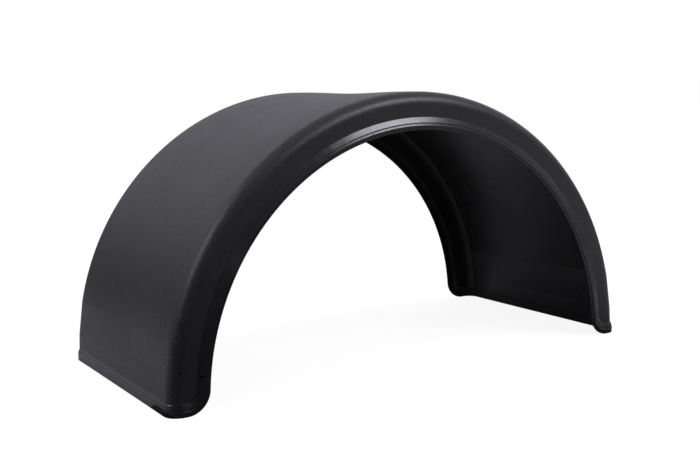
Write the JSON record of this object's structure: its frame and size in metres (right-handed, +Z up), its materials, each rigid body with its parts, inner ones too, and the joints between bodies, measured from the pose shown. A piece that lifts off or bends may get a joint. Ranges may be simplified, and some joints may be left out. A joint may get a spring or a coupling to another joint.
{
  "type": "trailer mudguard",
  "caption": "Half-round mudguard: a broad arched tread band with side walls, a flared bead lip round the wheel opening and rimmed ends.",
  "frame": {"origin": "centre of the base: midway between the two ends and the two side walls, on the plane of the cut edges that the guard stands on", "axes": "+X along the arch from one end to the other, +Y across the width, +Z up to the crown"},
  "size_m": [1.253, 0.6126, 0.638],
  "materials": {
    "shell": "satin black polyethylene with a fine grain, glossier on the lip"
  },
  "bodies": {
    "root": {"mudguard_shell": "shell"}
  },
  "joints": []
}
